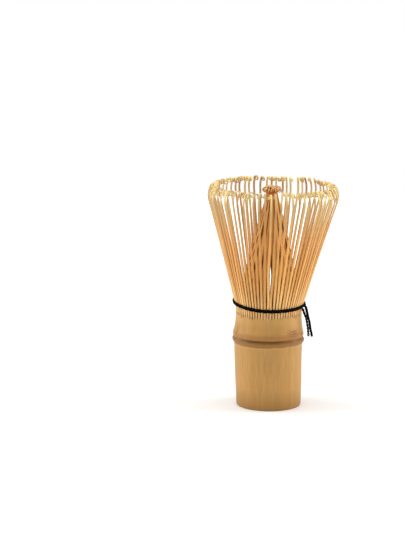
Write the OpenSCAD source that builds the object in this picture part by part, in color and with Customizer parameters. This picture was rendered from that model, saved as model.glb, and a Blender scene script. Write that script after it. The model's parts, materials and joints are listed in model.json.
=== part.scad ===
// Bamboo tea whisk. One culm forms the handle below its node, and the wall above the node is
// split into outer tines with curled tips and inner tines gathered into a cone. A black thread
// is laced between the two rings and wound round the outside.
// +Z is the axis of the culm, the origin is the centre of the flat base, sizes are millimetres.

/* [Handle] */
// Outside diameter of the handle
handle_d = 32.2; // [31.6:0.1:32.6]
// Diameter of the hollow below the node
bore_d = 23; // [20:0.5:24]
// Diameter of the thinned hollow above the node
cup_d = 24.8; // [24.2:0.2:25]
// Height of the ridge at the node
node_z = 33.1; // [30:0.1:35]
// Thickness of the wall that closes the culm at the node
septum_t = 3; // [2:0.5:4]
// Height at which the tines bend, just under the thread
hinge_z = 50.6; // [50:0.1:51]

/* [Outer tines] */
// Thickness of an outer tine at its root
outer_root_t = 0.95; // [0.8:0.05:1]
// Thickness of an outer tine at its tip
outer_tip_t = 0.4; // [0.3:0.05:0.5]
// Width of an outer tine at its root
outer_root_w = 1.05; // [0.8:0.05:1.1]
// Width of an outer tine at its tip
outer_tip_w = 0.62; // [0.5:0.02:0.64]
// Lean of the straight part of the tines, in degrees
flare = 16.3; // [15:0.1:17]
// Height at which the shoulder starts to turn inwards
shoulder_z = 100.8; // [98:0.1:102]
// Radius of the shoulder
shoulder_r = 9; // [7:0.5:10]
// Radius of the curl at the tip
curl_r = 1.7; // [1.4:0.1:1.9]

/* [Inner tines] */
// Thickness of an inner tine at its root
inner_root_t = 0.85; // [0.7:0.05:0.9]
// Thickness of an inner tine at its tip
inner_tip_t = 0.34; // [0.3:0.02:0.36]
// Width of an inner tine at its root
inner_root_w = 1.1; // [0.8:0.05:1.2]
// Width of an inner tine at its tip
inner_tip_w = 0.42; // [0.3:0.02:0.44]

/* [Thread] */
// Diameter of one turn of thread
thread_d = 0.84; // [0.7:0.02:0.86]
// Diameter of the knot
knot_d = 2.1; // [1.6:0.1:2.1]
// Length of each free end
tail_len = 16; // [12:1:18]

/* [Hidden] */
$fn = 96;
outer_sectors = 18;
tines_per_sector = 4;
sector_angle = 360 / outer_sectors;
tine_pitch = sector_angle / tines_per_sector;
inner_groups = 8;
group_angle = 360 / inner_groups;

// Gap under each row of feet, and how far a tine reaches into its foot
foot_gap = 0.15;
foot_overlap = 0.1;
foot_d = 1.1;
culm_top = hinge_z - foot_d / 2 - foot_gap;

// Half-length of the wedges that taper the tines, and the room they leave above for the tips
taper_reach = 40;
tip_room = 12;

// Handle
handle_r = handle_d / 2;
base_bevel = 0.5;
septum_z = node_z - 3.1;

// Outer tines: the path runs along the bark side, and headings are measured from +Z outwards
outer_foot_r = 16.38;
outer_foot_w = 5.24;
outer_root_r = 16.93;
root_lean = 11;
root_bend_h = 6;
shoulder_turn = -35;
curl_turn = -215;

// Inner tines: six in a group meet the neck in three rings of one, two and three
inner_foot_r = 13.5;
inner_foot_w = 9.6;
inner_spacing = 1.8;
bow_start = 18;
bow_end = 22;
neck_lean = 13.5;
tip_rise = 75;
tip_turn = 215;
// Each row is a tine, in order along the foot: the ring it joins and its place across the ring
neck_plan = [[2, -0.6], [1, -0.3], [2, 0], [0, 0], [1, 0.3], [2, 0.6]];
// Radius at the neck, height of the neck, radius of the flare and radius of the curl, ring by ring
neck_rings = [
    [0.9, 107.3, 1.4, 0.75],
    [1.7, 105.6, 1.8, 0.85],
    [2.5, 104.4, 2.1, 0.9]
];

// Thread
wrap_r = 17.7;
wrap_gap = 0.02;
wrap_half = (thread_d + wrap_gap) / 2;
weave_r = 15.35;
weave_d = 0.5;
knot_azimuth = -4;
knot_r = 18.3;
knot_clear = 0.06;
knot_half_angle = asin((knot_d / 2 + knot_clear) / wrap_r);
// Each free end: azimuth, radius and height of its top, and its diameter
tail_a = [-4, 18.95, 48.9, 1];
tail_b = [-21.5, 17.95, 49.1, 0.8];
tail_top_lean = 20;
tail_bow_r = 52;

function two_digits(i) = i < 10 ? str("0", i) : str(i);
outer_names = [for (i = [1:outer_sectors]) str("outer_tines_", two_digits(i))];
inner_names = [for (i = [1:inner_groups]) str("inner_tines_", i)];

// Points of an arc that starts at p and turns from heading h0 to h1; each is [x, z, heading]
function turn(p, h0, h1, r, n) =
    let (s = sign(h1 - h0))
    [for (i = [1:n])
        let (h = h0 + (h1 - h0) * i / n)
        [p[0] + s * r * (cos(h0) - cos(h)), p[1] + s * r * (sin(h) - sin(h0)), h]];

function last(list) = list[len(list) - 1];

// Tine thickness at height z, thinning from z0 to z1
function thickness(z, z0, z1, t0, t1) = t0 + (t1 - t0) * min(1, max(0, (z - z0) / (z1 - z0)));

// Closed outline of a tine: its path, then the same path moved in by the thickness
function outline(path, z0, z1, t0, t1) = concat(
    [for (p = path) [p[0], p[1]]],
    [for (i = [len(path) - 1:-1:0])
        let (p = path[i], t = thickness(p[1], z0, z1, t0, t1))
        [p[0] - t * cos(p[2]), p[1] + t * sin(p[2])]]
);

root_bend_r = root_bend_h / (sin(flare) - sin(root_lean));
outer_start = [outer_root_r, hinge_z - foot_overlap, root_lean];
outer_bend = turn(outer_start, root_lean, flare, root_bend_r, 4);
outer_top = [
    last(outer_bend)[0] + (shoulder_z - last(outer_bend)[1]) * tan(flare),
    shoulder_z,
    flare
];
outer_shoulder = turn(outer_top, flare, shoulder_turn, shoulder_r, 6);
outer_curl = turn(last(outer_shoulder), shoulder_turn, curl_turn, curl_r, 12);
outer_path = concat([outer_start], outer_bend, [outer_top], outer_shoulder, outer_curl);
outer_outline = outline(outer_path, hinge_z, shoulder_z, outer_root_t, outer_tip_t);

function bezier(p, t) =
    pow(1 - t, 3) * p[0] + 3 * t * pow(1 - t, 2) * p[1]
    + 3 * t * t * (1 - t) * p[2] + pow(t, 3) * p[3];

function bezier_lean(p, t) =
    let (d = pow(1 - t, 2) * (p[1] - p[0]) + 2 * t * (1 - t) * (p[2] - p[1])
        + t * t * (p[3] - p[2]))
    atan2(d[0], d[1]);

// Path of an inner tine whose root stands at distance reach from its neck, for one neck ring
function inner_path(reach, ring) =
    let (
        p = [
            [reach, hinge_z - foot_overlap],
            [reach, hinge_z + bow_start],
            [bow_end * sin(neck_lean), ring[1] - bow_end * cos(neck_lean)],
            [0, ring[1]]
        ],
        steps = 10,
        bow = [for (i = [0:steps]) concat(bezier(p, i / steps), bezier_lean(p, i / steps))],
        rise = turn(last(bow), -neck_lean, tip_rise, ring[2], 5),
        curl = turn(last(rise), tip_rise, tip_turn, ring[3], 6)
    )
    concat(bow, rise, curl);

// Wedge that a tine is cut to: width w0 at z0, narrowing to w1 at z1 and constant above it
module taper(w0, w1, z0, z1) {
    rotate([90, 0, 90])
        translate([0, 0, -taper_reach])
            linear_extrude(2 * taper_reach)
                polygon([
                    [-w0 / 2, z0],
                    [w0 / 2, z0],
                    [w1 / 2, z1],
                    [w1 / 2, z1 + tip_room],
                    [-w1 / 2, z1 + tip_room],
                    [-w1 / 2, z1]
                ]);
}

module upright(points, width) {
    rotate([90, 0, 0])
        linear_extrude(width, center = true)
            polygon(points);
}

module foot(radius, width) {
    translate([radius, 0, hinge_z])
        rotate([90, 0, 0])
            cylinder(h = width, d = foot_d, center = true);
}

module outer_tine() {
    intersection() {
        upright(outer_outline, outer_root_w);
        taper(outer_root_w, outer_tip_w, hinge_z - 1, shoulder_z);
    }
}

module outer_tines(k) {
    color("burlywood")
        rotate([0, 0, sector_angle * k]) {
            for (i = [0:tines_per_sector - 1])
                rotate([0, 0, tine_pitch * (i - (tines_per_sector - 1) / 2)])
                    outer_tine();
            foot(outer_foot_r, outer_foot_w);
        }
}

// One inner tine: its plane runs from its place at the neck to its place on the foot
module inner_tine(i) {
    ring = neck_rings[neck_plan[i][0]];
    neck = [ring[0], neck_plan[i][1]];
    root = [inner_foot_r + inner_root_t / 2, inner_spacing * (i - 2.5)];
    reach = norm(root - neck);
    points = outline(inner_path(reach, ring), hinge_z, ring[1], inner_root_t, inner_tip_t);
    translate([neck[0], neck[1], 0])
        rotate([0, 0, atan2(root[1] - neck[1], root[0] - neck[0])])
            intersection() {
                upright(points, inner_root_w);
                taper(inner_root_w, inner_tip_w, hinge_z - 1, ring[1]);
            }
}

module inner_tines(k) {
    color("peru")
        rotate([0, 0, group_angle * k]) {
            for (i = [0:len(neck_plan) - 1])
                inner_tine(i);
            foot(inner_foot_r, inner_foot_w);
        }
}

module culm_handle() {
    color([0.8, 0.64, 0.4])
        rotate_extrude()
            polygon([
                [bore_d / 2, 0],
                [handle_r - base_bevel, 0],
                [handle_r, base_bevel],
                [handle_r, node_z - 2.6],
                [handle_r + 0.55, node_z - 1.3],
                [handle_r + 0.95, node_z - 0.3],
                [handle_r + 0.85, node_z + 0.8],
                [handle_r + 0.25, node_z + 1.5],
                [handle_r + 0.6, node_z + 2.3],
                [handle_r + 0.7, node_z + 3.1],
                [handle_r + 0.45, node_z + 5],
                [handle_r + 0.2, node_z + 8],
                [handle_r + 0.2, node_z + 11],
                [handle_r + 0.35, node_z + 14],
                [handle_r + 0.65, culm_top],
                [cup_d / 2, culm_top],
                [cup_d / 2, septum_z],
                [bore_d / 2, septum_z]
            ]);
}

module node_septum() {
    color([0.86, 0.76, 0.55])
        translate([0, 0, septum_z])
            cylinder(h = septum_t, d = cup_d);
}

module ring_of_thread(radius, z, d, gap_angle) {
    color([0.07, 0.06, 0.06])
        translate([0, 0, z])
            rotate([0, 0, knot_azimuth + gap_angle])
                rotate_extrude(angle = 360 - 2 * gap_angle)
                    translate([radius, 0])
                        circle(d = d);
}

module thread_knot() {
    color([0.07, 0.06, 0.06])
        rotate([0, 0, knot_azimuth])
            translate([knot_r, 0, hinge_z])
                sphere(d = knot_d);
}

// A free end hangs from its top in a gentle bow that ends almost upright
module thread_tail(tail) {
    bow = tail_len / tail_bow_r * 180 / PI;
    color([0.07, 0.06, 0.06])
        rotate([0, 0, tail[0]])
            translate([tail[1], 0, tail[2]]) {
                sphere(d = tail[3]);
                rotate([0, -tail_top_lean, 0])
                    translate([-tail_bow_r, 0, 0])
                        rotate([90, 0, 0])
                            mirror([0, 1, 0])
                                rotate_extrude(angle = bow)
                                    translate([tail_bow_r, 0])
                                        circle(d = tail[3]);
            }
}

culm_handle();
node_septum();
ring_of_thread(weave_r, hinge_z, weave_d, 0);  // thread_weave
ring_of_thread(wrap_r, hinge_z - wrap_half, thread_d, knot_half_angle);  // thread_wrap_lower
ring_of_thread(wrap_r, hinge_z + wrap_half, thread_d, knot_half_angle);  // thread_wrap_upper
thread_knot();
thread_tail(tail_a);  // thread_tail_a
thread_tail(tail_b);  // thread_tail_b
for (k = [0:outer_sectors - 1])
    outer_tines(k);
for (k = [0:inner_groups - 1])
    inner_tines(k);
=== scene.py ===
"""Looks of the bamboo tea whisk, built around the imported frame.

Shapes are worked out in millimetres and become metres in add_mesh(). The axis of the culm is +Z,
the knot of the thread is on the +X side and the camera stands on the -Y side."""

import json
import math

import bmesh
import bpy
import numpy as np
from mathutils import Euler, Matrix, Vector


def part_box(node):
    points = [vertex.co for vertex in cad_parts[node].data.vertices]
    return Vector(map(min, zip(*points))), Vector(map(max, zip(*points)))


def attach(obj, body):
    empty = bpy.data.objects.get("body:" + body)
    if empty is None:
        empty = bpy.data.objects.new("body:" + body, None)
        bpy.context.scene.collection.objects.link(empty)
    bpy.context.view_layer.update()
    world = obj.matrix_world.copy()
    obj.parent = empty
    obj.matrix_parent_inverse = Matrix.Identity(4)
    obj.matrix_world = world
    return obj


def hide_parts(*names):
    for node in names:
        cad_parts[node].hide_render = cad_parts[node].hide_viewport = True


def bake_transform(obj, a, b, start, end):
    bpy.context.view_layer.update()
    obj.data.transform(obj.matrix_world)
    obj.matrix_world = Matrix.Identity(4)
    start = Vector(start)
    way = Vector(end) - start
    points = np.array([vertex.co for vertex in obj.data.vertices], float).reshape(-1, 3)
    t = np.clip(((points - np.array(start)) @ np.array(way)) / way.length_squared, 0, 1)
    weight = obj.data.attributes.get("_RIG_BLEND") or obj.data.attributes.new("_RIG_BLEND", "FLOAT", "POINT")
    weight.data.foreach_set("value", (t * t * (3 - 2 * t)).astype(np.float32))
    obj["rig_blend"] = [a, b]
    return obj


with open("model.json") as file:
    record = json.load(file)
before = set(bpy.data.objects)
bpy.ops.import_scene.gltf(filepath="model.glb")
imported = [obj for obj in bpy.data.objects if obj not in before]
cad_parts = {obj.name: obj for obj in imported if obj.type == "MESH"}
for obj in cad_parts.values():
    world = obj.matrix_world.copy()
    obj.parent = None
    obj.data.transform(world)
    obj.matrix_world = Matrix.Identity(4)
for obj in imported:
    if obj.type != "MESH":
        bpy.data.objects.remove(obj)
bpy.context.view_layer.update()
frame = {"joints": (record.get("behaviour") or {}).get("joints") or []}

MM = 0.001
rng = np.random.default_rng(31)

# ---------------------------------------------------------------- sizes, in millimetres

JOINTS = {j["name"]: j for j in frame["joints"]}
HINGE_Z = JOINTS["outer_01_flex"]["pos_m"][2] / MM
OUTER_SECTORS = sum(name.startswith("outer_") for name in JOINTS)
INNER_GROUPS = sum(name.startswith("inner_") for name in JOINTS)
TINES_PER_SECTOR = 4
TINES_PER_GROUP = 6
SECTOR_ANGLE = 360 / OUTER_SECTORS
TINE_PITCH = SECTOR_ANGLE / TINES_PER_SECTOR
GROUP_ANGLE = 360 / INNER_GROUPS

CULM_RIDGE_Z = 33.2
SLIT_Z = 47.4
BORE_R = 11.5
CUP_R = 12.4
SEPTUM_LOW, SEPTUM_HIGH = (corner[2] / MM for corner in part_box("node_septum"))

# Outer tines: the path starts ROOT_DEPTH below the slits, bends under the thread and again just above
# it, and then runs straight to the shoulder. Headings are in degrees off +Z, outwards
OUTER_ROOT_R = 16.06
ROOT_DEPTH = 1.4
ROOT_HEADING = 5.0
ROOT_LEAN = 15.0
LOW_FLARE, HIGH_FLARE, MEAN_FLARE = 15.4, 16.75, 16.2
ROOT_LEG = HINGE_Z - SLIT_Z + ROOT_DEPTH
LOW_LEG = 5.0
SHOULDER_Z = 102.2

# How far the brush leans over at the shoulder, towards +X and the front, and the slope of its rim
TOP_LEAN = (1.85, -0.7)
RIM_TILT = (-0.012, 0.019)

# Heights up to which each ring of tines takes up the bend of its body
OUTER_BEND_TOP = 66
INNER_BEND_TOP = 68

THREAD_R = 0.45
KNOT_AZIMUTH = -4.0


def ramp(x, lo, hi):
    """0 below lo, 1 above hi, smooth between."""
    t = np.clip((np.asarray(x, float) - lo) / (hi - lo), 0, 1)
    return t * t * (3 - 2 * t)


def polar(radius, azimuth):
    """A point (x, y) at a radius and an azimuth in degrees."""
    a = np.radians(azimuth)
    return np.array([radius * np.cos(a), radius * np.sin(a)])


def turned(xy, angle):
    """2D points turned about the origin by angle, in degrees; angle may differ from point to point."""
    a = np.radians(angle)
    x, y = xy[..., 0], xy[..., 1]
    return np.stack([x * np.cos(a) - y * np.sin(a), x * np.sin(a) + y * np.cos(a)], axis=-1)


def leaned(points, part=1.0):
    """The points with the lean of the brush and the slope of its rim; part scales both."""
    out = np.array(points, float)
    share = np.clip((out[..., 2] - SLIT_Z) / (SHOULDER_Z - SLIT_Z), 0, 1) * part
    rise = out[..., 0] * RIM_TILT[0] + out[..., 1] * RIM_TILT[1]
    out[..., 0] += TOP_LEAN[0] * share
    out[..., 1] += TOP_LEAN[1] * share
    out[..., 2] += rise * share
    return out


# ---------------------------------------------------------------- meshes


def add_mesh(name, verts, faces, material, attributes=(), sharp=38):
    """A mesh object from millimetre points, with one value or vector per point for each attribute."""
    mesh = bpy.data.meshes.new(name)
    mesh.from_pydata((np.asarray(verts) * MM).tolist(), [], faces)
    for label, values in dict(attributes).items():
        values = np.asarray(values, np.float32)
        kind = "FLOAT" if values.ndim == 1 else "FLOAT_VECTOR"
        data = mesh.attributes.new(label, kind, "POINT").data
        data.foreach_set("value" if values.ndim == 1 else "vector", values.ravel())
    work = bmesh.new()
    work.from_mesh(mesh)
    bmesh.ops.recalc_face_normals(work, faces=work.faces)
    work.to_mesh(mesh)
    work.free()
    mesh.shade_smooth()
    mesh.set_sharp_from_angle(angle=math.radians(sharp))
    mesh.materials.append(material)
    obj = bpy.data.objects.new(name, mesh)
    bpy.context.collection.objects.link(obj)
    return obj


def tube_faces(rings, sides, closed=False, base=0):
    """Faces of a tube of rings, with flat ends unless it closes on itself."""
    faces = []
    for i in range(rings if closed else rings - 1):
        a, b = base + i * sides, base + (i + 1) % rings * sides
        faces += [(a + j, a + (j + 1) % sides, b + (j + 1) % sides, b + j) for j in range(sides)]
    if not closed:
        faces.append(tuple(base + j for j in reversed(range(sides))))
        faces.append(tuple(base + (rings - 1) * sides + j for j in range(sides)))
    return faces


class Pile:
    """Gathers several tubes into one mesh, with their attributes."""

    def __init__(self):
        self.verts, self.faces, self.attributes, self.count = [], [], {}, 0

    def add(self, rings, closed=False, **attributes):
        n, m = rings.shape[:2]
        self.faces += tube_faces(n, m, closed, self.count)
        self.verts.append(rings.reshape(-1, 3))
        for label, values in attributes.items():
            self.attributes.setdefault(label, []).append(values)
        self.count += n * m

    def object(self, name, material, sharp=38):
        attributes = {k: np.concatenate(v) for k, v in self.attributes.items()}
        return add_mesh(name, np.concatenate(self.verts), self.faces, material, attributes, sharp)


def unit(v):
    """Vectors scaled to length 1."""
    return v / np.maximum(np.linalg.norm(v, axis=-1, keepdims=True), 1e-9)


def along_path(points):
    """Unit tangents of a path and the distance along it."""
    tangents = unit(np.gradient(points, axis=0))
    steps = np.linalg.norm(np.diff(points, axis=0), axis=1)
    return tangents, np.concatenate([[0], np.cumsum(steps)])


# ---------------------------------------------------------------- materials


def srgb(r, g, b):
    """Linear colour from 0-255 display values."""
    def linear(c):
        c /= 255
        return c / 12.92 if c <= 0.04045 else ((c + 0.055) / 1.055) ** 2.4
    return (linear(r), linear(g), linear(b), 1.0)


class Shader:
    """A material with a Principled shader, and short calls to add nodes to it."""

    def __init__(self, name, **settings):
        self.material = bpy.data.materials.new(name)
        self.material.use_nodes = True
        self.tree = self.material.node_tree
        self.principled = self.tree.nodes["Principled BSDF"]
        for label, value in settings.items():
            self.principled.inputs[label.replace("_", " ")].default_value = value

    def node(self, kind, inputs=(), **settings):
        made = self.tree.nodes.new("ShaderNode" + kind)
        for label, value in settings.items():
            setattr(made, label, value)
        for key, value in dict(inputs).items():
            self.feed(made.inputs[key], value)
        return made

    def feed(self, socket, value):
        if isinstance(value, bpy.types.NodeSocket):
            self.tree.links.new(value, socket)
        else:
            socket.default_value = value

    def finish(self, label, value):
        """Give one input of the Principled shader its value or its node."""
        self.feed(self.principled.inputs[label], value)

    def attribute(self, name, output="Fac"):
        return self.node("Attribute", attribute_name=name).outputs[output]

    def math(self, operation, a, b=0.0):
        return self.node("Math", {0: a, 1: b}, operation=operation).outputs[0]

    def times(self, a, b):
        return self.math("MULTIPLY", a, b)

    def blend(self, factor, a, b, kind="MIX"):
        made = self.node("Mix", {"Factor": factor}, data_type="RGBA", blend_type=kind)
        self.feed(made.inputs[6], a)
        self.feed(made.inputs[7], b)
        return made.outputs[2]

    def shaded(self, colour, amount):
        """The colour, lighter or darker by a factor."""
        grey = self.node("CombineColor", {0: amount, 1: amount, 2: amount}).outputs[0]
        return self.blend(1.0, colour, grey, "MULTIPLY")

    def ramp(self, factor, stops):
        made = self.node("ValToRGB", {"Fac": factor})
        band = made.color_ramp
        for i, (place, colour) in enumerate(stops):
            stop = band.elements[i] if i < 2 else band.elements.new(place)
            stop.position, stop.color = place, colour
        return made.outputs["Color"]

    def levels(self, value, lo, hi, out_lo=0.0, out_hi=1.0):
        """The value stretched from lo..hi to out_lo..out_hi, and held at both ends."""
        made = self.node("MapRange", {0: value, 1: lo, 2: hi, 3: out_lo, 4: out_hi}, clamp=True)
        return made.outputs[0]

    def noise(self, vector, scale, detail=3.0, roughness=0.55):
        stretched = self.node("VectorMath", {0: vector, 1: scale}, operation="MULTIPLY")
        made = self.node("TexNoise", {"Vector": stretched.outputs[0], "Scale": 1.0,
                                      "Detail": detail, "Roughness": roughness})
        return made.outputs["Fac"]

    def band(self, value, middle, width, plateau=0.0):
        """1 at middle, 0 half a width away; plateau is the share of the width that stays at 1."""
        away = self.math("ABSOLUTE", self.math("SUBTRACT", value, middle))
        return self.levels(away, width / 2, width / 2 * plateau, 0.0, 1.0)

    def bump(self, height, strength, distance):
        made = self.node("Bump", {"Height": height, "Strength": strength, "Distance": distance})
        return made.outputs["Normal"]


def tine_material(name, bands, cut_bands, darken):
    """Split bamboo. grain holds millimetres across and along the tine and the tine's number, place
    runs from 0 at the root to 1 at the tip, cut is 1 off the bark face, tint is the tine's own shade;
    darken is the shade of the darkest streaks."""
    s = Shader(name, Specular_IOR_Level=0.32)
    grain, place = s.attribute("grain", "Vector"), s.attribute("place")
    tint, cut = s.attribute("tint"), s.attribute("cut")
    streaks = s.noise(grain, (5.0, 0.28, 3.1), 4)
    patches = s.noise(grain, (0.25, 0.045, 5.3), 2)
    colour = s.ramp(place, bands)
    colour = s.blend(s.times(cut, 0.8), colour, s.ramp(place, cut_bands))
    colour = s.shaded(colour, s.levels(streaks, 0.3, 0.72, darken, 1.06))
    warm = s.levels(patches, 0.35, 0.7)
    colour = s.blend(s.times(warm, 0.35), colour, srgb(214, 130, 52))
    colour = s.shaded(colour, s.levels(tint, 0.0, 1.0, 0.76, 1.16))
    colour = s.blend(s.levels(tint, 0.0, 0.6, 0.3, 0.0), colour, srgb(206, 126, 48))
    s.finish("Base Color", colour)
    s.finish("Roughness", s.levels(streaks, 0.3, 0.7, 0.36, 0.56))
    s.finish("Normal", s.bump(streaks, 0.35, 0.00006))
    return s.material


def skin_colour(s, grain, fine, clouds):
    """Bamboo skin: streaks along the fibres, broad bands and clouds, painted light that makes the collar
    lighter below the thread, and painted shade that darkens the foot.
    """
    height = s.node("SeparateXYZ", {0: grain}).outputs[1]
    broad = s.noise(grain, (0.33, 0.016, 1.0), 3)
    colour = s.ramp(s.levels(fine, 0.28, 0.74), [(0.0, srgb(174, 128, 67)), (1.0, srgb(209, 163, 98))])
    colour = s.blend(s.levels(broad, 0.38, 0.68, 0.0, 0.5), colour, srgb(176, 132, 66))
    colour = s.blend(s.levels(clouds, 0.42, 0.68, 0.0, 0.3), colour, srgb(206, 150, 88))
    colour = node_colour(s, colour, height, clouds)
    # painted light: the skin turns lighter up to the slits, against the shadow of the thread
    colour = s.blend(s.levels(height, 41.0, 47.0, 0.0, 0.5), colour, srgb(214, 164, 98))
    colour = s.blend(s.times(s.attribute("scar"), 0.8), colour, srgb(124, 64, 26))
    # painted shade: the skin darkens towards the foot, where less light reaches it
    return s.blend(s.levels(height, 0.0, 10.0, 0.6, 0.0), colour, srgb(134, 92, 40))


def node_colour(s, colour, height, clouds):
    """The node, from below: pale line, brown ridge, stain that fades upwards, a painted shadow line under
    the ridge's lower edge and painted shade in the groove. The clouds break the lines and make their edges
    waver."""
    level = s.math("ADD", height, s.times(s.math("SUBTRACT", clouds, 0.5), 1.2))
    rough = s.levels(clouds, 0.3, 0.7, 0.45, 1.0)
    pale_line = s.times(s.band(level, 31.2, 0.8), s.times(rough, 0.26))
    colour = s.blend(pale_line, colour, srgb(226, 184, 124))
    colour = s.blend(s.times(s.band(level, 33.4, 2.6, 0.5), 0.7), colour, srgb(132, 84, 34))
    colour = s.blend(s.times(s.band(level, 36.4, 4.2, 0.3), 0.5), colour, srgb(150, 90, 42))
    # painted shadow: a dark line under the overhanging lower edge of the ridge
    ridge_shadow_line = s.times(s.band(level, 32.2, 1.1, 0.2), s.times(rough, 0.8))
    colour = s.blend(ridge_shadow_line, colour, srgb(94, 62, 8))
    # painted shade in the groove, stronger at the front and back than at the sides
    groove = s.times(s.band(height, 34.7, 2.2, 0.2), s.attribute("groove_shade"))
    return s.blend(groove, colour, srgb(92, 54, 2))


def pith_colour(s, fine):
    """Cut ends and inner wall: pale pith with the dots of the fibre bundles."""
    place = s.node("NewGeometry").outputs["Position"]
    cells = s.node("TexVoronoi", {"Vector": place, "Scale": 1300.0}, feature="F1")
    dots = s.levels(cells.outputs["Distance"], 0.12, 0.3, 1.0, 0.0)
    pith = s.ramp(fine, [(0.0, srgb(206, 172, 118)), (1.0, srgb(232, 206, 158))])
    return s.blend(s.times(dots, 0.55), pith, srgb(140, 96, 52))


def culm_material():
    """Bamboo skin on the outside, pith where the culm is cut, and painted shade in the slits between the
    tines and on the top between the rings of tines.
    grain holds millimetres round and up the culm, cut is 1 off the skin, scar says how strong the scars are,
    slit how strong the painted shade in the slits and on the top is, and the groove's own attribute how
    strong the painted shade in the groove at the node is."""
    s = Shader("culm_bamboo", Specular_IOR_Level=0.22)
    grain, cut = s.attribute("grain", "Vector"), s.attribute("cut")
    fine = s.noise(grain, (4.2, 0.11, 1.0), 5, 0.6)
    clouds = s.noise(grain, (0.16, 0.11, 1.0), 4)
    colour = s.blend(cut, skin_colour(s, grain, fine, clouds), pith_colour(s, fine))
    # painted shade in the slits and on the top between the rings of tines
    slit = s.levels(s.attribute("slit"), 0.05, 0.7, 0.0, 0.92)
    s.finish("Base Color", s.blend(slit, colour, srgb(70, 38, 12)))
    s.finish("Roughness", s.blend(cut, s.levels(fine, 0.3, 0.7, 0.4, 0.56), (0.75, 0.75, 0.75, 1)))
    s.finish("Normal", s.bump(s.math("ADD", fine, s.times(clouds, 0.6)), 0.25, 0.00012))
    return s.material


def septum_material():
    """Pale, blotched pith."""
    s = Shader("septum_pith", Roughness=0.8)
    place = s.node("NewGeometry").outputs["Position"]
    blotches = s.noise(place, (420.0, 420.0, 420.0), 5)
    colour = s.ramp(blotches, [(0.25, srgb(176, 140, 88)), (0.75, srgb(226, 202, 152))])
    s.finish("Base Color", colour)
    s.finish("Normal", s.bump(s.noise(place, (2600.0, 2600.0, 2600.0), 3), 0.4, 0.0002))
    return s.material


def thread_material():
    """Black twisted cotton: grain holds millimetres round and along a ply."""
    s = Shader("black_cotton", Roughness=0.78)
    s.principled.inputs["Sheen Weight"].default_value = 0.02
    s.principled.inputs["Sheen Roughness"].default_value = 0.5
    s.principled.inputs["Sheen Tint"].default_value = (0.5, 0.42, 0.36, 1)
    s.principled.inputs["Specular IOR Level"].default_value = 0.06
    grain = s.attribute("grain", "Vector")
    fibres = s.noise(grain, (14.0, 3.0, 1.0), 3)
    colour = s.ramp(fibres, [(0.3, srgb(2, 1, 1)), (0.8, srgb(17, 13, 10))])
    s.finish("Base Color", colour)
    s.finish("Normal", s.bump(fibres, 0.5, 0.00008))
    return s.material


# Colours along a tine from root to tip, on the bark face and on the cut faces
OUTER_BANDS = [
    # up to 0.1 the roots are pale bamboo, made lighter still as painted light against the thread's shadow
    (0.0, srgb(226, 180, 116)), (0.06, srgb(242, 194, 124)), (0.1, srgb(252, 202, 126)),
    (0.3, srgb(244, 184, 98)), (0.55, srgb(234, 177, 101)), (0.68, srgb(216, 178, 112)),
    (0.77, srgb(200, 173, 115)), (0.84, srgb(250, 231, 160)), (1.0, srgb(255, 240, 172)),
]
# painted shade: the cut faces are dark low down, where they are seen only in the narrow gaps between the
# tines; higher up they are pale like split bamboo
OUTER_CUT = [
    (0.0, srgb(162, 102, 42)), (0.22, srgb(166, 106, 44)), (0.45, srgb(224, 184, 126)),
    (0.8, srgb(244, 229, 174)), (1.0, srgb(252, 237, 168)),
]
INNER_BANDS = [
    # painted shade: the bark darkens from 0.85 to the tips, which hang down under the cap
    (0.0, srgb(234, 190, 118)), (0.12, srgb(242, 186, 104)), (0.5, srgb(246, 180, 92)),
    (0.85, srgb(222, 144, 60)), (0.92, srgb(212, 128, 50)), (1.0, srgb(182, 98, 34)),
]
INNER_CUT = [
    # painted shade: the cut faces are dark up to 0.84, inside the whisk, where they are seen through the
    # gaps; from 0.88 to 0.93 they are pale split bamboo made lighter still as a painted highlight on top of
    # the cap, and from 0.965 painted shade darkens the drooping tips again
    (0.0, srgb(184, 108, 36)), (0.84, srgb(170, 96, 28)), (0.88, srgb(250, 212, 138)),
    (0.93, srgb(255, 228, 160)), (0.965, srgb(216, 140, 64)), (1.0, srgb(168, 92, 34)),
]
MATERIALS = {
    "culm": culm_material(),
    "pith": septum_material(),
    "outer_tine": tine_material("outer_bamboo", OUTER_BANDS, OUTER_CUT, 0.8),
    "inner_tine": tine_material("inner_bamboo", INNER_BANDS, INNER_CUT, 0.7),
    "thread": thread_material(),
}

# ---------------------------------------------------------------- tines

# Section of a tine: across the width from -1 to 1, and in from the bark from 0 to 1; OFF_BARK is 1
# where a point lies on a cut face
SECTION = np.array([
    (-0.82, 0.0), (0.0, -0.07), (0.82, 0.0), (1.0, 0.16), (1.0, 0.84),
    (0.8, 1.0), (0.0, 1.03), (-0.8, 1.0), (-1.0, 0.84), (-1.0, 0.16),
])
OFF_BARK = np.array([0, 0, 0, 0.5, 1, 1, 1, 1, 1, 0.5])
# The tint that every tine has at its root, where it is still part of the culm
ROOT_TINT = 0.6


def walk(start, legs):
    """Path (r, z) that turns evenly along each leg (length, heading at its end, steps)."""
    r, z, heading = start
    points = [(r, z)]
    for length, end, steps in legs:
        for i in range(steps):
            h = math.radians(heading + (end - heading) * (i + 0.5) / steps)
            r, z = r + length / steps * math.sin(h), z + length / steps * math.cos(h)
            points.append((r, z))
        heading = end
    return np.array(points)


def tine_rings(points, across, width, thickness):
    """Rings of SECTION swept along points; across points along the width, bark outwards."""
    tangent, length = along_path(points)
    inward = unit(np.cross(tangent, across))
    across = np.cross(inward, tangent)
    half = (np.asarray(width) / 2)[:, None, None] * SECTION[None, :, :1] * across[:, None, :]
    deep = np.asarray(thickness)[:, None, None] * SECTION[None, :, 1:] * inward[:, None, :]
    return points[:, None, :] + half + deep, length


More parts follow.
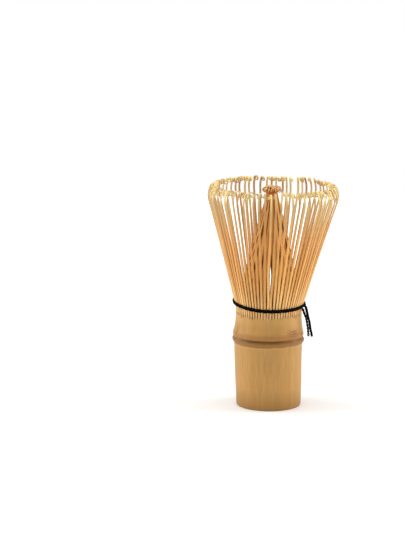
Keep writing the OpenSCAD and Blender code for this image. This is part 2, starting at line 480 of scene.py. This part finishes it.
def tine_attributes(rings, length, number, tint, place):
    """Attributes for the shader; at the root the tine's own shade fades into that of the culm."""
    n, m = rings.shape[:2]
    tints = ROOT_TINT + (tint - ROOT_TINT) * ramp(place, 0.03, 0.16)
    girth = np.tile(np.linspace(0, 2.6, m), (n, 1))
    grain = np.stack([girth, np.tile(length[:, None], (1, m)), np.full((n, m), number * 1.7)], axis=-1)
    return {
        "grain": grain.reshape(-1, 3),
        "place": np.repeat(place, m),
        "cut": np.tile(OFF_BARK, n),
        "tint": np.repeat(tints, m),
    }


# An outer curl turns by HALF_CURL at its full radius, then on at a share CURL_CLOSES of it, and its
# core by CORE_TURN at a share CORE_CLOSES. Where the rim is rolled, the tips reach sideways
HALF_CURL = 170.0
CURL_CLOSES = 0.75
CORE_TURN = 240.0
CORE_CLOSES = 0.42
ROLL_REACH = 2.5

# Stretches of the rim whose curls lie rolled against each other: azimuth of the middle, half length
ROLLED = [(-62, 17), (-126, 7), (-4, 24), (57, 6), (80, 5), (127, 24), (176, 20)]


def rolled(azimuth):
    """1 inside the rolled stretches of the rim, 0 outside."""
    away = [((azimuth - middle + 180) % 360 - 180) / half for middle, half in ROLLED]
    return max(math.exp(-(a**4)) for a in away)


def comb(azimuth):
    """Which way the tips of a stretch of the rim have been brushed, in degrees off the radial plane."""
    a = math.radians(azimuth)
    wave = math.sin(a + 0.6) + 0.9 * math.sin(3 * a + 1.1) + 0.5 * math.sin(7 * a)
    return 78 * math.tanh(2.6 * wave) * (1 - 0.7 * rolled(azimuth))


# The see-through gap in the middle: height at the front, length, how far the tines beside it stand
# off it, how much lower and further to +X it lies at the back, and where they draw together below it
GAP_Z, GAP_LENGTH = 69.5, 6.5
OUTER_PUSH, INNER_PUSH = 0.34, 0.36
GAP_DROP, GAP_SHIFT = 7.0, 0.42
GAP_CLOSES_Z, GAP_CLOSES_LENGTH, GAP_CLOSES_BY = 55.5, 4.0, 0.2


def parting(z, azimuth, push):
    """Sideways shift of a tine that stands beside the gap; push is its own side of the gap."""
    at_back = abs(azimuth % 360 - 90) < TINE_PITCH
    if at_back:
        return (push - GAP_SHIFT) * np.exp(-(((z - GAP_Z + GAP_DROP) / GAP_LENGTH) ** 2))
    closing = np.exp(-(((z - GAP_CLOSES_Z) / GAP_CLOSES_LENGTH) ** 2))
    closing = math.copysign(GAP_CLOSES_BY, push) * closing
    return push * np.exp(-(((z - GAP_Z) / GAP_LENGTH) ** 2)) - closing


def outer_profile(roll):
    """Path (r, z) of one outer tine in its radial plane, and the step at which its shoulder starts."""
    off = rng.normal(0, 0.22)
    shoulder = rng.uniform(-38, -32)
    curl_r = rng.uniform(1.2, 1.4)
    shoulder_r = rng.uniform(8.2, 8.9)
    curl_turn = rng.uniform(260, 340) + 180 * roll
    closes = CURL_CLOSES + 0.17 * roll
    rise = SHOULDER_Z + rng.normal(0, 0.1) - HINGE_Z
    straight = [
        (ROOT_LEG, ROOT_LEAN, 4),
        (LOW_LEG, LOW_FLARE + off, 3),
        ((rise - LOW_LEG) / math.cos(math.radians(MEAN_FLARE)), HIGH_FLARE + off, 20),
    ]
    curled = [
        (math.radians(HIGH_FLARE + off - shoulder) * shoulder_r, shoulder, 9),
        (math.radians(HALF_CURL) * curl_r, shoulder - HALF_CURL, 9),
        (math.radians(curl_turn - HALF_CURL) * curl_r * closes, shoulder - curl_turn, 22),
        (math.radians(CORE_TURN) * curl_r * CORE_CLOSES, shoulder - curl_turn - CORE_TURN, 12),
    ]
    path = walk((OUTER_ROOT_R, SLIT_Z - ROOT_DEPTH, ROOT_HEADING), straight + curled)
    return path, sum(steps for _, _, steps in straight)


def outer_sway(path, turn_from, azimuth, roll):
    """Radius and sideways shift along the tine, which wanders a little, and the angle by which its
    curl turns out of the radial plane."""
    high = np.clip((path[:, 1] - HINGE_Z) / (SHOULDER_Z - HINGE_Z), 0, 1.1)
    drift = rng.normal(0, 0.3) * high**1.6 + rng.normal(0, 0.08) * np.sin(high * 5 + rng.uniform(0, 6))
    twist = comb(azimuth) + np.clip(rng.normal(0, 16), -40, 40) * (1 - 0.6 * roll)
    index = np.arange(len(path))
    turn = twist * ramp(index, turn_from, turn_from + 35)
    out, side = path[:, 0].copy(), drift * (high > 0)
    beyond = index > turn_from
    reach, swing = path[:, 0] - path[turn_from, 0], np.radians(turn)
    out[beyond] = path[turn_from, 0] + (reach * np.cos(swing))[beyond]
    side[beyond] += (reach * np.sin(swing))[beyond]
    side += ROLL_REACH * roll * ramp(index, turn_from + 7, turn_from + 34)
    off_middle = azimuth % 180 - 90
    if abs(off_middle) < TINE_PITCH:
        side += parting(path[:, 1], azimuth, math.copysign(OUTER_PUSH, off_middle))
    return out, side, turn


def outer_tine(pile, number, azimuth):
    """One outer tine: up out of the wall, under the thread, straight out and over into its curl."""
    roll = rolled(azimuth)
    path, turn_from = outer_profile(roll)
    out, side, turn = outer_sway(path, turn_from, azimuth, roll)
    radial, tangential = polar(1, azimuth), polar(1, azimuth + 90)
    xy = out[:, None] * radial + side[:, None] * tangential
    points = leaned(np.column_stack([xy, path[:, 1]]))
    across = turned(np.tile(tangential, (len(path), 1)), turn)
    across = np.column_stack([across, np.zeros(len(path))])
    beyond = np.arange(len(path)) > turn_from
    width = np.interp(path[:, 1], [SLIT_Z, 56, 80, SHOULDER_Z], [1.06, 1.12, 1.14, 0.95])
    width[beyond] = np.linspace(0.95, 0.82 + 0.45 * roll, beyond.sum())
    width *= rng.uniform(0.88, 1.08)
    thickness = np.interp(path[:, 1], [SLIT_Z, 56, 78, SHOULDER_Z], [0.95, 0.85, 0.68, 0.52])
    thickness[beyond] = np.linspace(0.52, 0.3, beyond.sum())
    rings, length = tine_rings(points, across, width, thickness)
    place = length / length[-1]
    pile.add(rings, **tine_attributes(rings, length, number, rng.uniform(0, 1), place))


def bezier(p, t):
    """Points of the cubic curve with the four guides p."""
    t = t[:, None]
    return (1 - t) ** 3 * p[0] + 3 * t * (1 - t) ** 2 * p[1] + 3 * t * t * (1 - t) * p[2] + t**3 * p[3]


# Where each inner tine of a group stands at the neck: radius, place across, height of the neck,
# radius of the flare and radius of the curl
NECK_PLAN = [
    (2.5, -0.6, 105.9, 1.35, 0.68), (1.6, -0.3, 106.2, 1.3, 0.7), (2.5, -0.1, 106.0, 1.35, 0.68),
    (0.6, 0.1, 106.7, 1.2, 0.68), (1.4, 0.3, 106.3, 1.3, 0.7), (2.5, 0.6, 105.9, 1.35, 0.68),
]

# The bow of an inner tine: where it starts, how far up its two guides hold it, and its lean and place
# along the tine at the neck. SWIRL turns the cone as it rises, INNER_LEAN is its part of TOP_LEAN
INNER_ROOT_R = 13.95
INNER_ROOT_Z = SLIT_Z - 1.0
INNER_SPACING = 1.56
MIDDLE_SLOT = (TINES_PER_GROUP - 1) / 2
BUNCH_GAP = 0.16
NECK_LEAN = 13.5
NECK_RISE = 0.6
NECK_PLACE = 0.86
BOW_LOW, BOW_HIGH = 21.0, 22.0
SWIRL = 9.0
INNER_LEAN = 0.6


def inner_profile(reach, neck_z, flare_r, curl_r):
    """Path (distance from the neck, z) of one inner tine: the bow up to the neck, then the curled tip,
    and the number of points in the bow."""
    lean = math.radians(NECK_LEAN)
    guides = np.array([
        (reach, INNER_ROOT_Z), (reach, INNER_ROOT_Z + BOW_LOW + rng.normal(0, 1)),
        (BOW_HIGH * math.sin(lean), neck_z - BOW_HIGH * math.cos(lean)), (0, neck_z),
    ])
    bow = bezier(guides, np.linspace(0, 1, 24))
    rise = rng.uniform(62, 84)
    curl_turn = rng.uniform(175, 235)
    tip = walk((0, neck_z, -NECK_LEAN), [
        (math.radians(rise + NECK_LEAN) * flare_r, rise, 7),
        (math.radians(curl_turn) * curl_r, rise + curl_turn, 12),
    ])
    return np.vstack([bow, tip[1:]]), len(bow)


def inner_tine(pile, number, azimuth, slot, swirl_by):
    """One inner tine: bowed in from the wall to the neck, then flared out and curled over."""
    neck_r, neck_side, neck_z, flare_r, curl_r = NECK_PLAN[slot]
    neck_z += NECK_RISE + rng.normal(0, 0.25)
    flare_r *= rng.uniform(0.85, 1.15)
    curl_r *= rng.uniform(0.85, 1.15)
    half = math.copysign(BUNCH_GAP / 2, slot - MIDDLE_SLOT)
    root = np.array([INNER_ROOT_R, half + INNER_SPACING * (slot - MIDDLE_SLOT)])
    neck = np.array([neck_r, neck_side])
    path, bow_count = inner_profile(np.linalg.norm(root - neck), neck_z, flare_r, curl_r)

    direction = unit(root - neck)
    sideways = np.array([-direction[1], direction[0]])
    high = np.clip((path[:, 1] - HINGE_Z) / (neck_z - HINGE_Z), 0, 1)
    side = rng.normal(0, 0.22) * high * np.sin(high * math.pi)
    side += parting(path[:, 1], azimuth, math.copysign(INNER_PUSH, half))
    swirl = azimuth + swirl_by * high**1.4
    xy = turned(neck + path[:, :1] * direction + side[:, None] * sideways, swirl)
    across = turned(np.tile(sideways, (len(path), 1)), swirl)
    points = leaned(np.column_stack([xy, path[:, 1]]), INNER_LEAN)
    across = np.column_stack([across, np.zeros(len(path))])
    beyond = np.arange(len(path)) >= bow_count
    width = np.interp(path[:, 1], [INNER_ROOT_Z, 60, 78, neck_z], [1.25, 1.32, 1.2, 0.58])
    width[beyond] = np.linspace(0.76, 0.68, beyond.sum())
    width *= rng.uniform(0.9, 1.1)
    thickness = np.interp(path[:, 1], [INNER_ROOT_Z, 62, 85, neck_z], [0.85, 0.7, 0.45, 0.36])
    thickness[beyond] = np.linspace(0.36, 0.3, beyond.sum())
    rings, length = tine_rings(points, across, width, thickness)
    bow_length = length[bow_count - 1]
    place = np.interp(np.arange(len(path)), [bow_count - 1, len(path) - 1], [NECK_PLACE, 1.0])
    place[:bow_count] = NECK_PLACE * length[:bow_count] / bow_length
    pile.add(rings, **tine_attributes(rings, length, number, rng.uniform(0, 1), place))


def outer_tines():
    """One piece for each sector of outer tines."""
    for k in range(OUTER_SECTORS):
        pile = Pile()
        for i in range(TINES_PER_SECTOR):
            azimuth = SECTOR_ANGLE * k + TINE_PITCH * (i - (TINES_PER_SECTOR - 1) / 2)
            outer_tine(pile, k * TINES_PER_SECTOR + i, azimuth)
        piece = pile.object(f"outer_sector_{k + 1:02d}", MATERIALS["outer_tine"])
        bend(piece, f"outer_{k + 1:02d}", OUTER_BEND_TOP)
        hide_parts(f"outer_tines_{k + 1:02d}")


def inner_tines():
    """One piece for each group of inner tines."""
    for k in range(INNER_GROUPS):
        pile = Pile()
        swirl_by = SWIRL + rng.uniform(-2, 2)
        for i in range(TINES_PER_GROUP):
            inner_tine(pile, k * TINES_PER_GROUP + i, GROUP_ANGLE * k, i, swirl_by)
        piece = pile.object(f"inner_group_{k + 1}", MATERIALS["inner_tine"])
        bend(piece, f"inner_{k + 1}", INNER_BEND_TOP)
        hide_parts(f"inner_tines_{k + 1}")


def bend(piece, body, top):
    """The piece grows out of the handle and bends above the thread, up to the height top."""
    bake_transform(piece, "handle", body, start=(0, 0, SLIT_Z * MM), end=(0, 0, top * MM))


# ---------------------------------------------------------------- culm

# Skin of the culm from the bevel at the base to the slits: height and radius
SKIN = np.array([
    (0.0, 15.3), (0.12, 15.6), (0.45, 15.82), (1.2, 15.92), (6.0, 16.06), (12.0, 16.32),
    (20.0, 16.48), (27.0, 16.64), (30.8, 16.78), (31.7, 16.98), (32.3, 17.42), (33.0, 17.7),
    (33.7, 17.64), (34.25, 17.34), (34.6, 16.98), (34.9, 16.96), (35.3, 17.26), (36.1, 17.4),
    (37.2, 17.28), (39.0, 16.84), (41.5, 16.44), (44.0, 16.24), (46.0, 16.18), (47.1, 16.23),
    (47.4, 16.12),
])
CULM_SIDES = 288
TANGENT_SHARE = 0.8

SKIN_R = 16.2

# Marks on the skin: azimuth, height and radius of the middle, and half width and half height.
# A side shoot has left the scar, front right; the bruise is at the back left
SCAR_PLACE, SCAR_SIZE = (-43, 38.3, 16.8), (2.0, 1.2)
BRUISE_PLACE, BRUISE_SIZE = (-154, 39.2, 17), (1.6, 2.4)


def smooth_line(points, step):
    """Smooth curve through the points, sampled about every step."""
    out = [points[0]]
    for i in range(len(points) - 1):
        p0, p1, p2 = points[max(i - 1, 0)], points[i], points[i + 1]
        p3 = points[min(i + 2, len(points) - 1)]
        n = max(1, round(float(np.linalg.norm(p2 - p1)) / step))
        for j in range(1, n + 1):
            t = j / n
            m1, m2 = (p2 - p0) / 2 * TANGENT_SHARE, (p3 - p1) / 2 * TANGENT_SHARE
            gap = np.linalg.norm(p2 - p1)
            m1 *= min(1, gap / max(np.linalg.norm(m1), 1e-6))
            m2 *= min(1, gap / max(np.linalg.norm(m2), 1e-6))
            h00, h10 = 2 * t**3 - 3 * t**2 + 1, t**3 - 2 * t**2 + t
            h01, h11 = -2 * t**3 + 3 * t**2, t**3 - t**2
            out.append(h00 * p1 + h10 * m1 + h01 * p2 + h11 * m2)
    return np.array(out)


def ring_waves(angle, waves):
    """Sum of a few slow waves round the culm: (turns, size, phase)."""
    return sum(size * np.cos(turns * angle + phase) for turns, size, phase in waves)


def around(angle, azimuth):
    """Angle off an azimuth given in degrees, in radians from -pi to pi."""
    return (angle - math.radians(azimuth) + np.pi) % (2 * np.pi) - np.pi


def culm_outline():
    """Section of the culm's wall as (height, radius), all the way round, and 1 where it is cut."""
    skin = smooth_line(SKIN, 0.45)
    top = [(SLIT_Z, r) for r in (15.8, 14.8, 13.8, 13.0)]
    cup = [(z, CUP_R) for z in (SLIT_Z - 0.2, 44, 40, 36, 33, SEPTUM_LOW)]
    bore = [(z, BORE_R) for z in (SEPTUM_LOW, 26, 20, 14, 8, 3, 0.5)]
    end = [(0.0, 11.9), (0.0, 12.8), (0.0, 13.8), (0.0, 14.7)]
    outline = np.vstack([skin, top, cup, bore, end])
    cut = np.concatenate([np.zeros(len(skin)), np.ones(len(outline) - len(skin))])
    cut[0] = 1
    return outline, cut


def culm_waves(r, z, angle, on_skin):
    """Radius and height out of round: faint ribs along the fibres, and a node that isn't quite level."""
    r = r + ring_waves(angle, [(2, 0.07, 0.6), (3, 0.04, 2.1)])
    ribs = ring_waves(angle, [(23, 0.012, 0.3), (41, 0.01, 1.9), (67, 0.008, 4.0), (97, 0.006, 5.1)])
    r = r + ribs * np.where(on_skin, 1.0, 1.8)
    near_node = np.exp(-(((z - CULM_RIDGE_Z) / 6) ** 2)) * on_skin
    z = z + near_node * ring_waves(angle, [(1, 0.22, 2.4), (2, 0.12, 1.0), (5, 0.06, 3.3)])
    r = r + near_node * ring_waves(angle, [(1, 0.1, 0.8), (4, 0.07, 1.7), (9, 0.03, 0.2)])
    return r, z


def culm_slits(angle, z, on_skin):
    """The slits between the tines run down into the skin and end at different heights."""
    off = np.degrees(angle) % TINE_PITCH
    open_here = np.isclose(off, 0) | np.isclose(off, TINE_PITCH)
    slit_end = SLIT_Z - 1.3 + rng.normal(0, 0.35, CULM_SIDES)
    return open_here * ramp(z, slit_end - 0.3, slit_end + 0.2) * on_skin


def off_mark(angle, z, place, size):
    """How far points of the skin lie across and up from the middle of a mark, in parts of its size."""
    azimuth, height, radius = place
    return around(angle, azimuth) * radius / size[0], (z - height) / size[1]


def culm_scars(angle, z):
    """Relief of the side shoot's scar, and how dark its lines and the bruise are."""
    across, up = off_mark(angle, z, SCAR_PLACE, SCAR_SIZE)
    pit = np.exp(-(across**2 + up**2))
    rim = np.exp(-((across / 1.8) ** 2 + (up / 1.8) ** 2))
    arcs = [np.exp(-(((up - 0.25 * across**2 - level) / 0.27) ** 2)) for level in (-1.2, -0.3, 0.7)]
    bruise = np.exp(-sum(part**2 for part in off_mark(angle, z, BRUISE_PLACE, BRUISE_SIZE)))
    return 0.25 * rim - 0.3 * pit, sum(arcs) * rim + 0.3 * rim + 0.4 * bruise


def culm():
    """The handle: skin, node and cut ends, as one closed wall round the hollow."""
    outline, cut = culm_outline()
    angle = np.linspace(0, 2 * np.pi, CULM_SIDES, endpoint=False)
    z = np.repeat(outline[:, :1], CULM_SIDES, axis=1)
    r = np.repeat(outline[:, 1:], CULM_SIDES, axis=1)
    on_skin = (cut < 0.5)[:, None]
    r, z = culm_waves(r, z, angle, on_skin)
    slit = culm_slits(angle, z, on_skin)
    r = r - 0.6 * slit
    relief, dark = culm_scars(angle, z)
    r = r + on_skin * relief

    # the culm bends a touch at the node
    crook = -0.38 * ramp(z, 4, 31) * (1 - 0.75 * ramp(z, 34, 46)) * on_skin
    points = np.stack([r * np.cos(angle) + crook, r * np.sin(angle), z], axis=-1)
    grain = np.stack([angle * SKIN_R + 0 * z, z, np.zeros_like(z)], axis=-1)

    # painted shade: the top between the two rings of tines is painted as dark as the slits
    height, radius = outline[:, 0], outline[:, 1]
    top_face = (radius > CUP_R + 0.1) & (radius < 16.0) & (height > SLIT_Z - 0.1)
    # how strong the painted shade in the groove is round the culm: most at the front and back
    groove_shade = 0.66 + ring_waves(angle, [(2, 0.24, np.pi), (3, 0.06, 0.4), (7, 0.05, 2.0)])
    attributes = {
        "grain": grain.reshape(-1, 3),
        "cut": np.repeat(cut, CULM_SIDES),
        "groove_shade": (groove_shade + 0 * z).ravel(),
        "scar": (dark * on_skin).ravel(),
        "slit": np.maximum(slit, top_face[:, None]).ravel(),
    }
    faces = tube_faces(len(outline), CULM_SIDES, closed=True)
    piece = add_mesh("culm", points.reshape(-1, 3), faces, MATERIALS["culm"], attributes, 50)
    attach(piece, "handle")
    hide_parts("culm_handle")


SEPTUM_SIDES = 96


def septum():
    """The wall at the node: a thin dished plate with faint rings."""
    radii = np.concatenate([np.linspace(0.4, CUP_R - 0.8, 16), [CUP_R - 0.3, CUP_R + 0.05]])
    middle = (SEPTUM_LOW + SEPTUM_HIGH) / 2
    under = middle - 0.55 - 0.9 * (radii / CUP_R) ** 2 + 0.06 * np.cos(radii * 3.1)
    over = middle + 0.45 + 0.7 * (radii / CUP_R) ** 3 + 0.05 * np.cos(radii * 2.7)
    height = np.concatenate([under, over[::-1]])[:, None]
    radius = np.concatenate([radii, radii[::-1]])[:, None]
    angle = np.linspace(0, 2 * np.pi, SEPTUM_SIDES, endpoint=False)
    z = height + 0.05 * np.cos(3 * angle + radius) + 0.03 * np.cos(7 * angle - 1)
    points = np.stack([radius * np.cos(angle), radius * np.sin(angle), z], axis=-1)
    faces = tube_faces(len(height), SEPTUM_SIDES)
    piece = add_mesh("septum", points.reshape(-1, 3), faces, MATERIALS["pith"], (), 60)
    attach(piece, "handle")
    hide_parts("node_septum")


# ---------------------------------------------------------------- thread


def bark_radius(z):
    """Radius of the outer tines' bark near the thread."""
    legs = [(ROOT_LEG, ROOT_LEAN, 8), (LOW_LEG, LOW_FLARE, 8)]
    path = walk((OUTER_ROOT_R, SLIT_Z - ROOT_DEPTH, ROOT_HEADING), legs)
    return np.interp(z, path[:, 1], path[:, 0])


def yarn(pile, points, radius, plies, pitch, ply_r, closed=False, sides=7, number=0):
    """Plies twisted round a path: each is a thin tube on a helix of the given radius and pitch."""
    tangent, length = along_path(points)
    if closed:
        tangent = unit(np.roll(points, -1, axis=0) - np.roll(points, 1, axis=0))
    first = unit(np.cross(tangent, np.array([0.3, 0.2, 1.0])))
    second = np.cross(tangent, first)
    radius = np.broadcast_to(radius, len(points))
    size = np.broadcast_to(ply_r, len(points))[:, None, None]
    total = length[-1] + (np.linalg.norm(points[0] - points[-1]) if closed else 0)
    turns = round(total / pitch) if closed else total / pitch
    a = np.linspace(0, 2 * np.pi, sides, endpoint=False)
    girth = np.tile(a * ply_r if np.isscalar(ply_r) else a * 0.2, (len(points), 1))
    run = np.tile(length[:, None], (1, sides))
    for ply in range(plies):
        phase = 2 * np.pi * (turns * length / total + ply / plies)
        offset = np.cos(phase)[:, None] * first + np.sin(phase)[:, None] * second
        centre = points + radius[:, None] * offset
        ply_tangent = along_path(centre)[0]
        u = unit(np.cross(ply_tangent, tangent + 0.3 * offset))
        v = np.cross(ply_tangent, u)
        circle = np.cos(a)[None, :, None] * u[:, None, :] + np.sin(a)[None, :, None] * v[:, None, :]
        grain = np.stack([girth, run, np.full(run.shape, number + ply * 3.1)], axis=-1)
        pile.add(centre[:, None, :] + size * circle, closed, grain=grain.reshape(-1, 3))


def thread_piece(pile, name, body, node):
    """The pile as a piece of thread on a body, in place of a CAD node."""
    piece = pile.object(name, MATERIALS["thread"], 70)
    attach(piece, body)
    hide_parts(node)


def thread_height(angle):
    """The thread isn't level: it lies lower at the front and by the knot, and dips just behind it."""
    level = HINGE_Z + 0.7 + 1.15 * np.sin(angle) + 0.1 * np.cos(2 * angle) - 0.3 * np.cos(angle)
    level = level - 0.95 * np.exp(-((around(angle, 20) / 0.25) ** 2))
    return level + 0.5 * np.maximum(0, np.cos(angle - math.radians(200))) ** 4


def round_culm(radius, angle, z):
    """Points round the culm's axis."""
    return np.stack([radius * np.cos(angle), radius * np.sin(angle), z], axis=-1)


KNOT_GAP = 3.0
LACE_R = 15.0


def thread_turns():
    """Two turns outside the tines, pressed in a little between them, and the laced turn inside."""
    gap = math.radians(KNOT_GAP)
    start = math.radians(KNOT_AZIMUTH)
    tines = OUTER_SECTORS * TINES_PER_SECTOR
    for label, side in (("lower", -1), ("upper", 1)):
        angle = np.linspace(start + gap, start + 2 * np.pi - gap, 1150)
        z = thread_height(angle) + side * THREAD_R * 0.98
        z = z + 0.07 * np.cos(31 * angle + side) + 0.04 * np.cos(tines * angle + 2 * side)
        press = 0.1 * (0.5 + 0.5 * np.cos(tines * angle))
        r = bark_radius(z) + THREAD_R - press + 0.03 * np.cos(17 * angle)
        pile = Pile()
        line = leaned(round_culm(r, angle, z))
        yarn(pile, line, radius=0.21, plies=3, pitch=1.5, ply_r=0.255, number=side)
        thread_piece(pile, f"thread_turn_{label}", "handle", f"thread_wrap_{label}")
    angle = np.linspace(0, 2 * np.pi, 1000, endpoint=False)
    z = thread_height(angle) + 0.15 * np.cos(tines / 2 * angle)
    r = LACE_R + 0.22 * np.cos(tines * angle)
    pile = Pile()
    yarn(pile, round_culm(r, angle, z), radius=0.17, plies=3, pitch=1.4, ply_r=0.2, closed=True)
    thread_piece(pile, "thread_lace", "handle", "thread_weave")


KNOT_SIZE = (0.26, 0.22, 0.2)
KNOT_OUT, KNOT_DROP = 0.6, 0.75


def knot():
    """An overhand knot, drawn tight against the two outside turns."""
    t = np.linspace(0, 2 * np.pi, 150, endpoint=False)
    across = KNOT_SIZE[0] * (np.sin(t) + 2 * np.sin(2 * t))
    up = KNOT_SIZE[1] * (np.cos(t) - 2 * np.cos(2 * t))
    away = KNOT_SIZE[2] * (-1.3 * np.sin(3 * t))
    radial = np.append(polar(1, KNOT_AZIMUTH), 0)
    tangential = np.append(polar(1, KNOT_AZIMUTH + 90), 0)
    height = thread_height(math.radians(KNOT_AZIMUTH))
    centre = radial * (bark_radius(height) + KNOT_OUT) + np.array([0, 0, height - KNOT_DROP])
    points = centre + across[:, None] * tangential + away[:, None] * radial
    points[:, 2] += up
    pile = Pile()
    yarn(pile, leaned(points), radius=0.16, plies=2, pitch=1.1, ply_r=0.24, closed=True)
    thread_piece(pile, "thread_bead", "handle", "thread_knot")


# Each free end: joint, body, node, plies, twist radius, ply radius, pitch of the twist, and its route
# from the knot down: millimetres out from the hinge, sideways and up
TAILS = [
    ("tail_a_swing", "tail_a", "thread_tail_a", 3, 0.3, 0.37, 3.8, [
        (-1.0, 0.2, 0.5), (-0.75, 0.1, 0.2), (-0.5, 0.0, -0.6), (0.1, -0.1, -3.4),
        (1.1, -0.1, -7.4), (1.55, 0.1, -10.6), (2.1, 0.2, -12.8), (2.3, 0.3, -14.2),
    ]),
    ("tail_b_swing", "tail_b", "thread_tail_b", 2, 0.33, 0.31, 3.1, [
        (-0.7, 0.4, 0.4), (-0.3, 0.4, 0.0), (0.3, 0.5, -1.6), (1.2, 0.9, -4.2),
        (1.75, 1.0, -7.0), (2.1, 1.2, -9.4), (2.45, 1.3, -13.2),
    ]),
]
LOOSE_FIBRES = 7


def tails():
    """The two free ends hang from the knot, out a little and then down, and fray at the tip."""
    for joint, body, node, plies, twist_r, ply_r, pitch, route in TAILS:
        top = np.array(JOINTS[joint]["pos_m"]) / MM
        outward = unit(np.array([top[0], top[1], 0.0]))
        sideways = np.array([-outward[1], outward[0], 0.0])
        line = smooth_line(np.array(route), 0.15)
        points = top + line[:, :1] * outward + line[:, 1:2] * sideways
        points[:, 2] += line[:, 2]
        along = np.linspace(0, 1, len(line))
        pile = Pile()
        loose = ramp(along, 0.8, 1)
        thick = ply_r * (1.25 - 0.25 * ramp(along, 0, 0.5) - 0.12 * loose)
        yarn(pile, points, twist_r * (1 + 0.1 * loose), plies, pitch, thick)
        for _ in range(LOOSE_FIBRES):
            fray(pile, points, outward, sideways)
        thread_piece(pile, f"thread_end_{body[-1]}", body, node)


def fray(pile, points, outward, sideways):
    """A single loose fibre near the cut end of the thread."""
    start = points[-1 - rng.integers(0, 16)]
    t = np.linspace(0, 1, 8)[:, None]
    spread = rng.normal(0, 0.45, 2)
    tip = np.array([0, 0, -1]) * rng.uniform(0.6, 1.5) + spread[0] * outward + spread[1] * sideways
    line = start + tip * t + 0.5 * (spread[0] * sideways - spread[1] * outward) * t * t
    yarn(pile, line, radius=0.0, plies=1, pitch=5.0, ply_r=0.045, sides=5)


# ---------------------------------------------------------------- stage, light and camera


# The floor glows, which is painted light: faintly near the whisk, where it thins the whisk's shadow, and
# more further off, between two distances from the axis
FLOOR_SIZE = 1.5
GLOW_FROM, GLOW_FULL = 0.2, 0.5
GLOW_NEAR, GLOW_FAR = 0.1, 0.62


def floor_material():
    """White paper whose glow, painted light, hides the edge of the floor in the white world and thins the
    whisk's shadow near it.
    """
    s = Shader("white_floor", Roughness=0.6)
    place = s.node("NewGeometry").outputs["Position"]
    away = s.node("VectorMath", {0: place}, operation="LENGTH").outputs["Value"]
    s.principled.inputs["Emission Color"].default_value = (0.92, 0.97, 1.0, 1)
    s.finish("Emission Strength", s.levels(away, GLOW_FROM, GLOW_FULL, GLOW_NEAR, GLOW_FAR))
    paper = s.noise(place, (30.0, 30.0, 30.0), 2)
    s.finish("Base Color", s.ramp(paper, [(0.0, srgb(250, 250, 250)), (1.0, srgb(253, 253, 252))]))
    return s.material


def stage():
    """A plain flat floor."""
    mesh = bpy.data.meshes.new("floor")
    size = FLOOR_SIZE / 2
    corners = [(-size, -size, 0), (size, -size, 0), (size, size, 0), (-size, size, 0)]
    mesh.from_pydata(corners, [], [(0, 1, 2, 3)])
    mesh.materials.append(floor_material())
    floor = bpy.data.objects.new("floor", mesh)
    bpy.context.collection.objects.link(floor)


# Each soft light: name, place, width and height, power and colour; all point at LIGHT_AIM
LIGHTS = [
    ("soft_left", (-0.85, 0.1, 0.45), (0.6, 0.8), 4.8, (1, 1, 1)),
    ("soft_right", (0.85, 0.12, 0.4), (0.5, 0.8), 4.8, (1.0, 0.985, 0.965)),
    ("soft_top", (0.0, -0.05, 1.0), (0.9, 0.9), 4.8, (1, 1, 1)),
]
LIGHT_AIM = (0, 0, 0.055)
WORLD_SEEN, WORLD_LIGHT = 1.0, 0.46


def lights():
    """Three area lights in a white world, which looks whiter than it lights."""
    for name, place, size, power, colour in LIGHTS:
        data = bpy.data.lights.new(name, "AREA")
        data.shape, data.size, data.size_y = "RECTANGLE", size[0], size[1]
        data.energy, data.color = power, colour
        lamp = bpy.data.objects.new(name, data)
        lamp.location = place
        lamp.rotation_euler = (Vector(LIGHT_AIM) - Vector(place)).to_track_quat("-Z", "Y").to_euler()
        bpy.context.collection.objects.link(lamp)
    world = bpy.data.worlds.new("studio")
    bpy.context.scene.world = world
    world.use_nodes = True
    tree = world.node_tree
    background = tree.nodes["Background"]
    background.inputs["Color"].default_value = (1, 1, 1, 1)
    seen = tree.nodes.new("ShaderNodeLightPath").outputs["Is Camera Ray"]
    strength = tree.nodes.new("ShaderNodeMapRange")
    strength.inputs["To Min"].default_value = WORLD_LIGHT
    strength.inputs["To Max"].default_value = WORLD_SEEN
    tree.links.new(seen, strength.inputs["Value"])
    tree.links.new(strength.outputs["Result"], background.inputs["Strength"])


# Metres from the axis and above the floor; pitch is down and yaw to the left, in degrees
CAMERA_DISTANCE = 0.893
CAMERA_HEIGHT = 0.2277
CAMERA_PITCH = 10.16
CAMERA_YAW = 2.103
CAMERA_LENS = 123.3


def camera():
    """The camera in front of the whisk, turned so that the whisk stands right of the middle."""
    data = bpy.data.cameras.new("camera")
    data.lens = CAMERA_LENS
    data.sensor_width = 36
    data.clip_start, data.clip_end = 0.05, 20
    cam = bpy.data.objects.new("camera", data)
    cam.location = (0, -CAMERA_DISTANCE, CAMERA_HEIGHT)
    cam.rotation_euler = Euler((math.radians(90 - CAMERA_PITCH), 0, math.radians(CAMERA_YAW)))
    bpy.context.collection.objects.link(cam)
    bpy.context.scene.camera = cam


camera()
culm()
septum()
outer_tines()
inner_tines()
thread_turns()
knot()
tails()
stage()
lights()
bpy.context.scene.view_settings.view_transform = "Standard"
